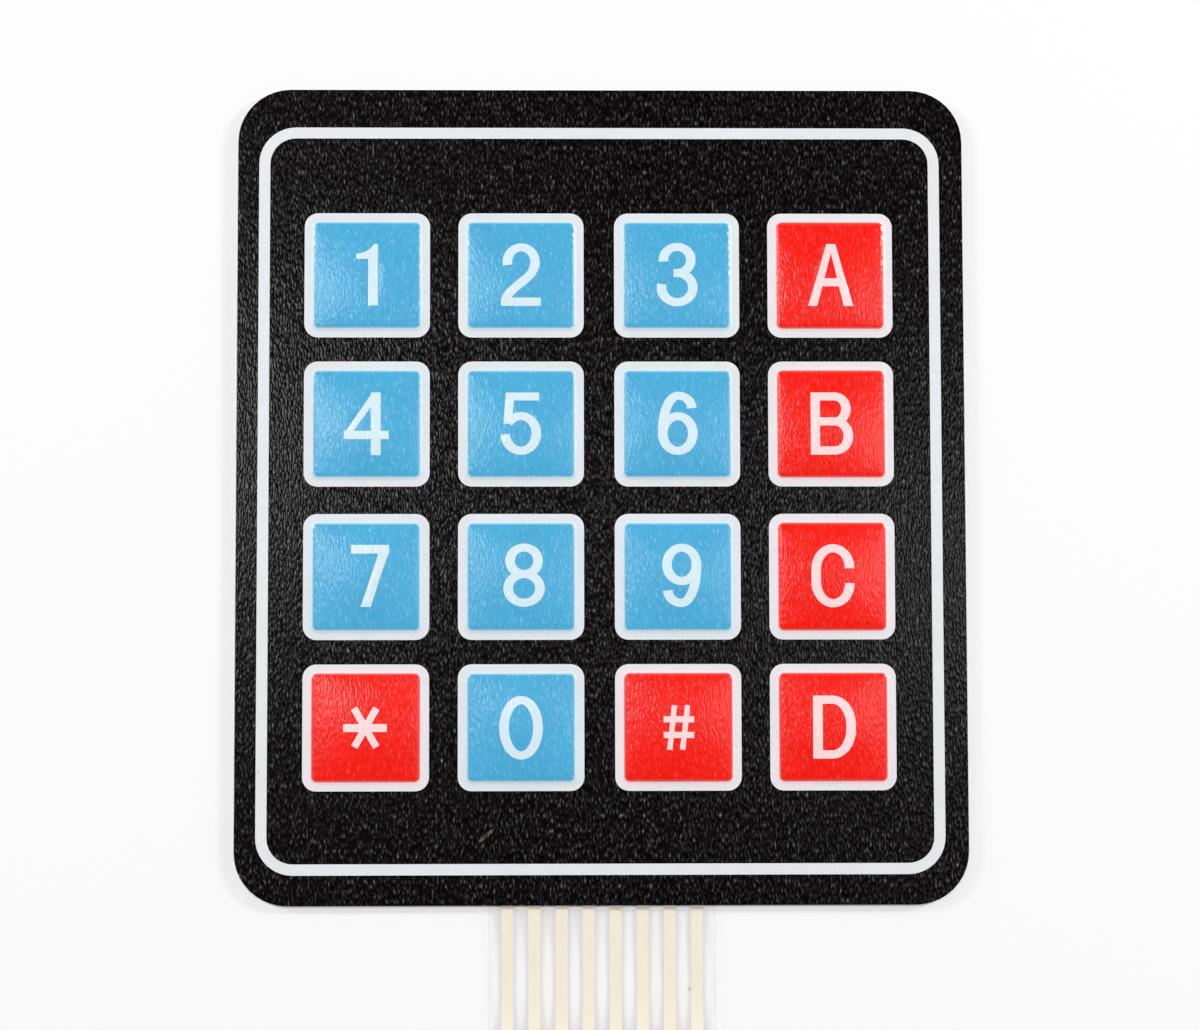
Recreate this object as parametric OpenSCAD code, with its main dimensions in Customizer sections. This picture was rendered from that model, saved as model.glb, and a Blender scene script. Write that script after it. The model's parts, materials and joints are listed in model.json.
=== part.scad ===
// Membrane keypad: a laminate of thin sheets with 16 embossed keys and a flat tail that ends in a socket.
// The pad lies face up on z = 0, centred on the origin, and the tail leaves it toward -Y.

/* [Pad] */
// Width of the pad
pad_w = 69; // [66:0.5:84]
// Height of the pad, without its tail
pad_h = 77.4; // [75:0.1:90]
// Corner radius of the pad
pad_r = 5; // [4:0.25:6.5]

/* [Keys] */
// Distance from a middle column of keys to the column beside it
column_pitch = 14.6; // [13.5:0.05:15]
// Distance between the two middle columns
column_gap = 14.8; // [13.5:0.05:15]
// Distance from a middle row of keys to the row beside it
row_pitch = 14.2; // [13.5:0.05:15]
// Distance between the two middle rows
row_gap = 14.5; // [13.5:0.05:15]
// How far the block of keys sits toward the tail from the pad's centre
key_drop = 0.6; // [0:0.05:1]
// How far the block of keys sits left of the pad's centre
key_left = 0.2; // [0:0.05:0.5]
// Outer width of a key's white border
key_w = 11.9; // [11:0.1:12.5]
// Corner radius of a key's white border
key_r = 1.3; // [1:0.05:1.6]
// Width of the white border around the colour field
border_w = 0.9; // [0.75:0.01:1.1]
// Corner radius of the colour field
field_r = 0.5; // [0.3:0.05:0.8]

/* [Emboss] */
// Height to which each key is raised
emboss_h = 0.3; // [0.15:0.01:0.45]
// Width of the slope around a raised key
emboss_run = 0.45; // [0.35:0.01:0.55]
// Level strip of white between the slope and the colour field
emboss_land = 0.1; // [0.05:0.01:0.15]

/* [Frame line] */
// From the pad's side edges to the white line, on average
frame_margin_x = 2.1; // [1.5:0.05:2.5]
// From the pad's top and bottom edges to the white line, on average
frame_margin_y = 3.25; // [2:0.05:4]
// How far the line sits toward the tail from the pad's centre
frame_drop = 0.4; // [0:0.05:0.8]
// How far the line sits left of the pad's centre
frame_left = 0.1; // [0:0.05:0.4]
// Width of the white line
frame_line = 1.05; // [0.6:0.05:1.4]
// Outer corner radius of the white line
frame_r = 3.5; // [2.5:0.1:4.5]

/* [Layers] */
// Thickness of the release liner
liner_t = 0.1; // [0.06:0.01:0.16]
// How far the liner stands out past the pad's edge
liner_margin = 0.15; // [0.05:0.05:0.4]
// Thickness of the adhesive on the back
rear_adhesive_t = 0.08; // [0.05:0.01:0.15]
// Thickness of each circuit film
film_t = 0.125; // [0.075:0.005:0.175]
// Thickness of the printed conductors
conductor_t = 0.02; // [0.01:0.005:0.03]
// Thickness of the spacer between the circuit films
spacer_t = 0.15; // [0.1:0.01:0.25]
// Thickness of the adhesive under the face film
overlay_adhesive_t = 0.05; // [0.03:0.01:0.1]
// Thickness of the face film with its print
overlay_t = 0.2; // [0.15:0.01:0.3]
// Depth of the printed fields in the face
print_t = 0.03; // [0.02:0.005:0.05]

/* [Circuit] */
// Diameter of the printed contact at each key
contact_d = 7; // [5:0.1:7.5]
// Diameter of the spacer's hole at each key
spacer_hole_d = 8.5; // [8:0.1:9.5]
// Width of the air vents that join the spacer's holes
vent_w = 0.8; // [0.5:0.1:1.2]
// Width of the printed conductors in the pad
trace_w = 0.8; // [0.5:0.05:1]
// Distance between conductors that run side by side in the pad
trace_pitch = 1.5; // [1.3:0.05:1.6]
// From the pad's edge to the first conductor
trace_margin = 2; // [1.5:0.1:2.2]
// Gap between the adhesive under the face and a raised key
adhesive_gap = 0.3; // [0.2:0.05:0.5]
// How far the vents lie beside the columns' conductors
vent_shift = 2.2; // [1.5:0.1:3]

/* [Tail] */
// From the pad's edge to the end of the socket
tail_l = 85; // [70:1:120]
// From the middle of an outer conductor to the tail's edge
tail_edge = 1.76; // [1.4:0.02:2.4]
// Distance between the conductors in the tail, and between the sockets
way_pitch = 2.54; // [2.5:0.01:2.56]
// Width of each conductor in the tail
tail_trace_w = 1.15; // [0.9:0.05:1.3]
// Distance from the pad at which the tail comes down to the table
dip_at = 8; // [5:0.5:10]
// Clearance between the tail and the table there
dip_z = 0.02; // [0.02:0.01:0.1]
// Distance from the pad to the top of the tail's hump
hump_at = 26; // [20:1:32]
// Height of the underside of the tail at its hump
hump_z = 3; // [1:0.1:6]
// Distance over which the two films close up after the pad
closing_l = 4; // [2:0.5:6]

/* [Socket] */
// Length of the socket housing
housing_l = 14; // [13:0.5:16]
// Height of the socket housing
housing_h = 2.6; // [2.5:0.05:3]
// Wall of the housing beside the outer cells
housing_wall = 0.6; // [0.4:0.05:1]
// Depth of the slot that takes the tail
slot_l = 4; // [3.5:0.1:5]
// From the middle of an outer conductor to the edge of the tail's narrow end
neck_edge = 0.8; // [0.75:0.01:0.95]
// Length of the tail's narrow end outside the housing
neck_l = 1.5; // [1:0.1:3]
// Width and height of the cell around each contact
cell_w = 1.9; // [1.85:0.01:2]
// Thickness of the wall at the mating end
front_wall = 1; // [0.8:0.1:1.4]
// Width of each square pin hole
pin_hole = 1; // [0.8:0.05:1.2]
// Width and height of a contact's spring box
box_w = 1.7; // [1.6:0.01:1.75]
// Thickness of the contacts' sheet metal
contact_t = 0.2; // [0.15:0.01:0.22]
// Clearance around pieces that slip together
slip = 0.1; // [0.05:0.01:0.15]

/* [Hidden] */
$fn = 48;

// Overlap that makes two shapes one, or lets a cutter pass a face
lap = 0.01;

// Levels of the layers, from the table up
z_rear_adhesive = liner_t;
z_lower = z_rear_adhesive + rear_adhesive_t;
z_spacer = z_lower + film_t;
z_upper = z_spacer + spacer_t;
z_overlay_adhesive = z_upper + film_t;
z_overlay = z_overlay_adhesive + overlay_adhesive_t;
z_face = z_overlay + overlay_t;
z_print = z_face - print_t;

// The 4 x 4 block of keys
lanes = 4;
function from_middle(i, gap, pitch) =
    let (step = i - (lanes - 1) / 2)
    sign(step) * (gap / 2 + (abs(step) - 0.5) * pitch);
function column_x(c) = from_middle(c, column_gap, column_pitch) - key_left;
function row_y(r) = -from_middle(r, row_gap, row_pitch) - key_drop;
key_cells = [for (r = [0 : lanes - 1]) for (c = [0 : lanes - 1]) [r, c]];
// The last column and the outer keys under the digits are red
function is_red(cell) = cell[1] == lanes - 1 || (cell[0] == lanes - 1 && cell[1] != 1);
blue_cells = [for (cell = key_cells) if (!is_red(cell)) cell];
red_cells = [for (cell = key_cells) if (is_red(cell)) cell];

// Outlines of a key, from the border inward
field_w = key_w - 2 * border_w;
crown_w = field_w + 2 * emboss_land;
crown_r = field_r + emboss_land;
foot_w = crown_w + 2 * emboss_run;
foot_r = crown_r + emboss_run;

// Outline of the white line
frame_w = pad_w - 2 * frame_margin_x;
frame_h = pad_h - 2 * frame_margin_y;

// The tail: its ways, and the height of each layer's underside at a distance from the pad
ways = 2 * lanes;
function way_x(way) = (way - (ways + 1) / 2) * way_pitch;
outer_ways = (ways - 1) * way_pitch;
tail_w = outer_ways + 2 * tail_edge;
neck_w = outer_ways + 2 * neck_edge;
tail_root = 0.5;
tail_end = tail_l - housing_l + slot_l;
neck_at = tail_l - housing_l - neck_l;
level_at = neck_at - neck_l;
stack_t = 2 * film_t + conductor_t;
z_socket = (housing_h - stack_t) / 2;
function ease(t) = let (u = min(max(t, 0), 1)) u * u * (3 - 2 * u);
function blend(from, to, t) = from + (to - from) * ease(t);
lower_z = function (s)
    s < dip_at ? blend(z_lower, dip_z, s / dip_at) :
    s < hump_at ? blend(dip_z, hump_z, (s - dip_at) / (hump_at - dip_at)) :
    blend(hump_z, z_socket, (s - hump_at) / (level_at - hump_at));
column_z = function (s) lower_z(s) + film_t;
// The gap between the films closes from the spacer's thickness to the conductors' own
upper_z = function (s) column_z(s) + blend(spacer_t, conductor_t, s / closing_l);
row_z = function (s) upper_z(s) - conductor_t;
// Distances from the pad at which the tail bends
bend_step = 1.5;
bends = ceil(level_at / bend_step);
bend_at = concat([-tail_root], [for (i = [0 : bends]) level_at * i / bends]);

// The socket: its housing, and the contacts from the crimp to the spring box
housing_w = outer_ways + cell_w + 2 * housing_wall;
housing_r = 0.3;
z_way = housing_h / 2;
slot_h = stack_t + 2 * (contact_t + slip);
lead_in = 0.3;
lead_in_w = pin_hole + 2 * lead_in;
crimp_w = 1.4;
crimp_l = 2;
crimp_end = 0.3;
film_past_crimp = 1;
crimp_at = tail_end - crimp_l - film_past_crimp;
curl_w = 0.55;
pierce_fit = 0.02;
throat_l = 1.2;
box_from = tail_end + throat_l;
box_to = tail_l - front_wall - slip;
leaf_w = 0.8;
leaf_end = 0.5;
pin_w = 0.64;
window_l = 2;
window_w = 1.2;
window_past_throat = 2;
window_at = box_from + window_past_throat;

// Outlines and sheets

module rounded(w, h, r) {
    square([w - 2 * r, h], center = true);
    square([w, h - 2 * r], center = true);
    for (x = [-1, 1]) for (y = [-1, 1])
        translate([x * (w / 2 - r), y * (h / 2 - r)]) circle(r);
}

module pad_outline(grow = 0) {
    rounded(pad_w + 2 * grow, pad_h + 2 * grow, pad_r + grow);
}

module pad_sheet(z, t) {
    translate([0, 0, z]) linear_extrude(t) pad_outline();
}

module at_keys(cells) {
    for (cell = cells)
        translate([column_x(cell[1]), row_y(cell[0])]) children();
}

// A straight-sided line of even width through the points of a path, with round joints
module line(path, w) {
    for (i = [0 : len(path) - 2]) {
        run = path[i + 1] - path[i];
        translate(path[i]) rotate(atan2(run[1], run[0]))
            translate([0, -w / 2]) square([norm(run), w]);
    }
    for (i = [0 : len(path) - 2])
        translate(path[i]) circle(d = w);
}

// The embossed face

// Half of the section through a raised key's edge: an S from the foot up to the crown
emboss_steps = 3;
function emboss_side(foot, deep) = concat(
    [[foot, -deep]],
    [for (i = [0 : emboss_steps]) [foot - emboss_run * i / emboss_steps, emboss_h * ease(i / emboss_steps)]]
);
function mirrored(points) = [for (i = [len(points) - 1 : -1 : 0]) [-points[i][0], points[i][1]]];

// The solid under one raised key, going down past its foot by the given depth
module crown(deep) {
    core = crown_w / 2 - crown_r;
    side = emboss_side(foot_w / 2, deep);
    for (turn = [0, 90])
        rotate([90, 0, turn])
            linear_extrude(2 * core, center = true) polygon(concat(side, mirrored(side)));
    corner = concat([[0, -deep]], emboss_side(foot_r, deep), [[0, emboss_h]]);
    for (x = [-1, 1]) for (y = [-1, 1])
        translate([x * core, y * core, 0]) rotate_extrude() polygon(corner);
}

module crowns(z) {
    translate([0, 0, z]) at_keys(key_cells) crown(lap);
}

// Film under the print, formed with one thickness measured straight up, and the black face around the print
module graphic_overlay() color([0.09, 0.085, 0.09]) {
    difference() {
        union() {
            pad_sheet(z_overlay, z_print - z_overlay);
            crowns(z_print);
        }
        crowns(z_overlay);
    }
    translate([0, 0, z_print - lap]) linear_extrude(print_t + lap) difference() {
        pad_outline();
        frame_line_outline();
        at_keys(key_cells) rounded(key_w, key_w, key_r);
    }
}

module frame_line_outline() {
    translate([-frame_left, -frame_drop]) difference() {
        rounded(frame_w, frame_h, frame_r);
        rounded(frame_w - 2 * frame_line, frame_h - 2 * frame_line, frame_r - frame_line);
    }
}

// One key's white border, which climbs the slope to the colour field
module key_border() {
    difference() {
        union() {
            translate([0, 0, z_print]) linear_extrude(print_t) rounded(key_w, key_w, key_r);
            translate([0, 0, z_face]) crown(lap);
        }
        translate([0, 0, z_print]) crown(lap);
        translate([0, 0, z_overlay]) linear_extrude(overlay_t + emboss_h + lap)
            rounded(field_w, field_w, field_r);
    }
}

module white_print() color([0.89, 0.91, 0.92]) {
    translate([0, 0, z_print]) linear_extrude(print_t) frame_line_outline();
    at_keys(key_cells) key_border();
}

module key_fields(cells) {
    translate([0, 0, z_print + emboss_h]) linear_extrude(print_t)
        at_keys(cells) rounded(field_w, field_w, field_r);
}

module blue_print() color([0.32, 0.7, 0.86]) key_fields(blue_cells);

module red_print() color([0.98, 0.19, 0.14]) key_fields(red_cells);

module overlay_adhesive() color([0.93, 0.93, 0.9]) {
    opening_w = foot_w + 2 * adhesive_gap;
    translate([0, 0, z_overlay_adhesive]) linear_extrude(overlay_adhesive_t) difference() {
        pad_outline();
        at_keys(key_cells) rounded(opening_w, opening_w, foot_r + adhesive_gap);
    }
}

// The circuit films, their tail and the spacer

// Conductor of one row of keys, from its contacts along the pad's left side to the pad's edge
module row_pattern(r, past = 0) {
    side_x = -pad_w / 2 + trace_margin + r * trace_pitch;
    turn_y = -pad_h / 2 + trace_margin + r * trace_pitch;
    way = [way_x(r + 1), turn_y];
    for (c = [0 : lanes - 1])
        translate([column_x(c), row_y(r)]) circle(d = contact_d);
    line([[column_x(lanes - 1), row_y(r)], [side_x, row_y(r)], [side_x, turn_y], way], trace_w);
    line([way, [way[0], -pad_h / 2 - past]], tail_trace_w);
}

// Conductor of one column of keys; the first column passes below the others on its way to the tail
module column_pattern(c, past = 0) {
    below = c == 0 ? trace_pitch : 0;
    turn_y = row_y(lanes - 1) - contact_d / 2 - trace_margin - below;
    way = [way_x(lanes + 1 + c), turn_y];
    for (r = [0 : lanes - 1])
        translate([column_x(c), row_y(r)]) circle(d = contact_d);
    line([[column_x(c), row_y(0)], [column_x(c), turn_y], way], trace_w);
    line([way, [way[0], -pad_h / 2 - past]], tail_trace_w);
}

// Slots that the contacts' crimp fingers make through the tail
module pierced() {
    finger_x = (crimp_w - contact_t) / 2;
    slot_w = contact_t + 2 * pierce_fit;
    from = crimp_at - pierce_fit;
    to = crimp_at + crimp_l + pierce_fit;
    for (way = [1 : ways]) for (side = [-1, 1])
        translate([way_x(way) + side * finger_x, 0, 0]) block(slot_w, from, to, 0, housing_h);
}

// A strip of the tail through the given distances from the pad, of one thickness over the given height
module tail_strip(w, along, height, t) {
    under = [for (s = along) [s, height(s)]];
    over = [for (i = [len(along) - 1 : -1 : 0]) under[i] + [0, t]];
    translate([0, -pad_h / 2, 0]) rotate([90, 0, -90])
        linear_extrude(w, center = true) polygon(concat(under, over));
}

module circuit_film(z, height) {
    difference() {
        union() {
            pad_sheet(z, film_t);
            tail_strip(tail_w, concat(bend_at, [neck_at]), height, film_t);
            tail_strip(neck_w, [level_at, tail_end], height, film_t);
        }
        pierced();
    }
}

module tail_trace(way, height) {
    difference() {
        translate([way_x(way), 0, 0])
            tail_strip(tail_trace_w, concat(bend_at, [tail_end]), height, conductor_t);
        pierced();
    }
}

module upper_circuit_film() color([0.85, 0.9, 0.92, 0.3]) circuit_film(z_upper, upper_z);

module lower_circuit_film() color([0.85, 0.9, 0.92, 0.3]) circuit_film(z_lower, lower_z);

module row_conductor(number) color([0.95, 0.91, 0.83]) {
    translate([0, 0, z_upper - conductor_t]) linear_extrude(conductor_t) row_pattern(number - 1);
    tail_trace(number, row_z);
}

module column_conductor(number) color([0.95, 0.91, 0.83]) {
    translate([0, 0, z_spacer]) linear_extrude(conductor_t) column_pattern(number - 1);
    tail_trace(lanes + number, column_z);
}

module spacer_outline() {
    difference() {
        pad_outline();
        at_keys(key_cells) circle(d = spacer_hole_d);
        for (c = [0 : lanes - 1]) {
            vent_x = column_x(c) + vent_shift;
            line([[vent_x, row_y(0)], [vent_x, row_y(lanes - 1)]], vent_w);
        }
        line([[column_x(0), -key_drop], [column_x(lanes - 1) + vent_shift, -key_drop]], vent_w);
    }
}

// The soft spacer gives way to the conductors on both of its faces
module spacer() color([0.9, 0.92, 0.9]) difference() {
    translate([0, 0, z_spacer]) linear_extrude(spacer_t) spacer_outline();
    for (i = [0 : lanes - 1]) {
        translate([0, 0, z_spacer - lap]) linear_extrude(conductor_t + lap) column_pattern(i, lap);
        translate([0, 0, z_upper - conductor_t]) linear_extrude(conductor_t + lap) row_pattern(i, lap);
    }
}

module rear_adhesive() color([0.93, 0.9, 0.8]) pad_sheet(z_rear_adhesive, rear_adhesive_t);

module release_liner() color([0.95, 0.93, 0.86]) linear_extrude(liner_t) pad_outline(liner_margin);

// The socket on the tail's end

// A box centred across the tail, between two distances from the pad and two heights
module block(w, from, to, low, high) {
    translate([-w / 2, -pad_h / 2 - to, low]) cube([w, to - from, high - low]);
}

module connector_housing() color([0.07, 0.07, 0.075]) difference() {
    translate([0, -pad_h / 2 - tail_l + housing_l, z_way]) rotate([90, 0, 0])
        linear_extrude(housing_l) rounded(housing_w, housing_h, housing_r);
    block(neck_w + 2 * slip, tail_l - housing_l - lap, tail_end, z_way - slot_h / 2, z_way + slot_h / 2);
    for (way = [1 : ways]) translate([way_x(way), 0, 0]) {
        block(cell_w, tail_end - lap, tail_l - front_wall, z_way - cell_w / 2, z_way + cell_w / 2);
        block(pin_hole, tail_l - front_wall - lap, tail_l, z_way - pin_hole / 2, z_way + pin_hole / 2);
        block(lead_in_w, tail_l - lead_in, tail_l + lap, z_way - lead_in_w / 2, z_way + lead_in_w / 2);
        block(window_w, window_at, window_at + window_l, z_way, housing_h + lap);
    }
}

// A strip of the contacts' sheet metal, bent along its path of distances and heights
module metal_strip(w, path) {
    over = [for (i = [len(path) - 1 : -1 : 0]) path[i] + [0, contact_t]];
    translate([0, -pad_h / 2, 0]) rotate([90, 0, -90])
        linear_extrude(w, center = true) polygon(concat(path, over));
}

// The spring box that takes a pin, open at both ends, with a bowed leaf above and below the pin
module spring_box() {
    half = box_w / 2;
    hollow = half - contact_t;
    difference() {
        block(box_w, box_from, box_to, z_way - half, z_way + half);
        block(2 * hollow, box_from - lap, box_to + lap, z_way - hollow, z_way + hollow);
    }
    middle = (box_from + box_to) / 2;
    bow = [[box_from + leaf_end, hollow], [middle, pin_w / 2], [box_to - leaf_end, hollow]];
    for (side = [0, 1])
        translate([0, 0, z_way]) mirror([0, 0, side]) metal_strip(leaf_w, bow);
}

// The foot under the film, with two fingers that pierce the tail and fold down on it
module crimp() {
    low = z_socket - contact_t;
    top = z_socket + stack_t;
    foot = [[crimp_at - crimp_end, low], [tail_end + slip, low], [box_from + lap, z_way - box_w / 2]];
    metal_strip(crimp_w, foot);
    for (side = [0, 1]) mirror([side, 0, 0]) {
        translate([(crimp_w - contact_t) / 2, 0, 0])
            block(contact_t, crimp_at, crimp_at + crimp_l, low, top + contact_t);
        translate([(crimp_w - curl_w) / 2, 0, 0])
            block(curl_w, crimp_at, crimp_at + crimp_l, top, top + contact_t);
    }
}

module contact(number) color([0.78, 0.78, 0.76]) translate([way_x(number), 0, 0]) {
    spring_box();
    crimp();
}

graphic_overlay();
white_print();
blue_print();
red_print();
overlay_adhesive();
upper_circuit_film();
spacer();
lower_circuit_film();
rear_adhesive();
release_liner();
connector_housing();
for (i = [1 : lanes]) {
    row_conductor(i);
    column_conductor(i);
}
for (i = [1 : ways])
    contact(i);
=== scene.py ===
# %% [markdown]
# # A membrane keypad
# A membrane keypad is a stack of thin plastic sheets. The top sheet carries all that the eye sees: black ink, white
# lines, coloured keys with their legends, and a fine grain. Under it lie two clear films with printed conductors.
# The sheets below the face come from the construction model. This lesson makes the printed and embossed face anew,
# with crisp print and soft shoulders, and then gives every sheet its finish.

import json
import math

import bpy
from mathutils import Matrix, Vector
from mathutils.geometry import delaunay_2d_cdt


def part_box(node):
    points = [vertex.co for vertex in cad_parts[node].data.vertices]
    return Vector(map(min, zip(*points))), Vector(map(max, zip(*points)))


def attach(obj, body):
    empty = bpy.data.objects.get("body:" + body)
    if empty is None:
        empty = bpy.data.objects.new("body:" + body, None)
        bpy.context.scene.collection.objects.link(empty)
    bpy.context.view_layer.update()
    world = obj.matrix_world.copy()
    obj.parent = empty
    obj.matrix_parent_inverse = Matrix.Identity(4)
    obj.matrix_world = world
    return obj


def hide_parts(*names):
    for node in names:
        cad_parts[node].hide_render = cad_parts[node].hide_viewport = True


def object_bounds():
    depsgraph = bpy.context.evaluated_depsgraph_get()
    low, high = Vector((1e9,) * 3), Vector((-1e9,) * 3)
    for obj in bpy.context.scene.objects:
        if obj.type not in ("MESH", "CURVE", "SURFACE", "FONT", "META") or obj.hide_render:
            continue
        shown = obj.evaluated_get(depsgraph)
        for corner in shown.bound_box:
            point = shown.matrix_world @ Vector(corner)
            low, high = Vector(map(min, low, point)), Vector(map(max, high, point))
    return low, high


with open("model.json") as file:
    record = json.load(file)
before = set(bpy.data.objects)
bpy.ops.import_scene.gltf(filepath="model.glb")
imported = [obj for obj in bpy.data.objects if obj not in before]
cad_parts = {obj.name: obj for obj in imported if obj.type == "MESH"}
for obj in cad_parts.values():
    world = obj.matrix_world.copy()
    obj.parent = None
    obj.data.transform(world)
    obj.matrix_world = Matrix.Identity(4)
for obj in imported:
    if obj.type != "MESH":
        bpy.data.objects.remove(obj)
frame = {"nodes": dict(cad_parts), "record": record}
cad_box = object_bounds()
MM = 0.001
cad_size = [round(side / MM, 2) for side in cad_box[1] - cad_box[0]]
print("construction model:", len(frame["nodes"]), "pieces, mm:", cad_size)

# %% [markdown]
# ## The sizes of the face
# All sizes of the face are in millimetres, and those that the other pieces also use are read from the model: the
# sheet's outline and its underside. The keys are not spread quite evenly. The middle gaps are a little wider than the
# outer ones, as on the real print, so each column and each row gets its own place.

# %% Sizes of the face
sheet_low, sheet_high = (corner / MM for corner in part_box("graphic_overlay"))
PAD_W, PAD_H, PAD_R = sheet_high.x - sheet_low.x, sheet_high.y - sheet_low.y, 5.0
UNDERSIDE = sheet_low.z
SHEET_T = 0.2
COLUMNS = [-22.2, -7.6, 7.2, 21.8]
ROWS = [20.85, 6.65, -7.85, -22.05]
BORDER_W, BORDER_R = 11.9, 1.3
FRAME_W, FRAME_H, FRAME_R, FRAME_LINE = 64.8, 70.9, 3.5, 1.05
FRAME_AT = (-0.1, -0.4)
print(f"face {PAD_W:.1f} x {PAD_H:.1f} mm, underside at {UNDERSIDE:.2f} mm, {len(COLUMNS) * len(ROWS)} keys")

# %% [markdown]
# ## Outlines with round corners
# The pad, the white line and every key are rectangles with round corners. One helper draws them all as a list of
# points. It can also place points along the straight sides, which the embossed keys need where the sheet bends.

# %% Rounded outline
CORNER_STEPS = 10


def rounded_outline(width, height, radius, centre=(0.0, 0.0), side_step=None):
    """Points of a rounded rectangle, counter-clockwise."""
    core_x, core_y = width / 2 - radius, height / 2 - radius
    corners = [(core_x, core_y), (-core_x, core_y), (-core_x, -core_y), (core_x, -core_y)]
    points = []
    for quarter, (x, y) in enumerate(corners):
        for step in range(CORNER_STEPS + 1):
            angle = math.pi / 2 * (quarter + step / CORNER_STEPS)
            points.append((centre[0] + x + radius * math.cos(angle), centre[1] + y + radius * math.sin(angle)))
        if side_step:
            next_x, next_y = corners[(quarter + 1) % 4]
            (from_x, from_y), turn = points[-1], math.pi / 2 * (quarter + 1)
            to_x = centre[0] + next_x + radius * math.cos(turn)
            to_y = centre[1] + next_y + radius * math.sin(turn)
            parts = max(1, round(math.hypot(to_x - from_x, to_y - from_y) / side_step))
            for part in range(1, parts):
                points.append((from_x + (to_x - from_x) * part / parts, from_y + (to_y - from_y) * part / parts))
    return points


print("pad outline:", len(rounded_outline(PAD_W, PAD_H, PAD_R)), "points")

# %% [markdown]
# ## The legends, drawn with a pen
# The signs on the keys are a plain sans-serif. A font file would bring someone's own drawing along, so each sign is
# drawn here from a few lines and arcs, as with a flat pen: its upright strokes are a little wider than its level ones.
# A stroke is a path of points that the pen turns into a ribbon. A part with a slanted end is given by its corners.

# %% Pen strokes and arcs
UPRIGHT_T, LEVEL_T = 0.9, 0.77
ARC_STEP = 7.5
SAME_PLACE = 1e-4


def arc(centre_x, centre_y, radius_x, radius_y, start, end):
    """Points on an ellipse from one angle to another, in degrees."""
    steps = max(2, math.ceil(abs(end - start) / ARC_STEP))
    angles = [math.radians(start + (end - start) * i / steps) for i in range(steps + 1)]
    return [(centre_x + radius_x * math.cos(a), centre_y + radius_y * math.sin(a)) for a in angles]


def pen(path, upright=UPRIGHT_T, level=LEVEL_T):
    """The quads that a flat pen leaves along a path."""
    path = [p for i, p in enumerate(path) if i == 0 or math.dist(p, path[i - 1]) > SAME_PLACE]
    closed = math.dist(path[0], path[-1]) < SAME_PLACE
    left, right = [], []
    for i, (x, y) in enumerate(path):
        before = path[i - 1] if i else (path[-2] if closed else path[0])
        ahead = path[i + 1] if i + 1 < len(path) else (path[1] if closed else path[i])
        run_x, run_y = ahead[0] - before[0], ahead[1] - before[1]
        length = math.hypot(run_x, run_y)
        run_x, run_y = run_x / length, run_y / length
        half = math.hypot(upright * run_y, level * run_x) / 2
        left.append((x - run_y * half, y + run_x * half))
        right.append((x + run_y * half, y - run_x * half))
    return [[left[i], right[i], right[i + 1], left[i + 1]] for i in range(len(path) - 1)]


print("a pen ring:", len(pen(arc(0, 0, 1.6, 2.6, 0, 360))), "quads")

# %% [markdown]
# The sixteen signs follow, in millimetres from the middle of their key. Digits with bowls are one or two pen paths.
# The slanted strokes of the one, the four, the seven and the letter A taper or have level ends, so they are polygons.

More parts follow.
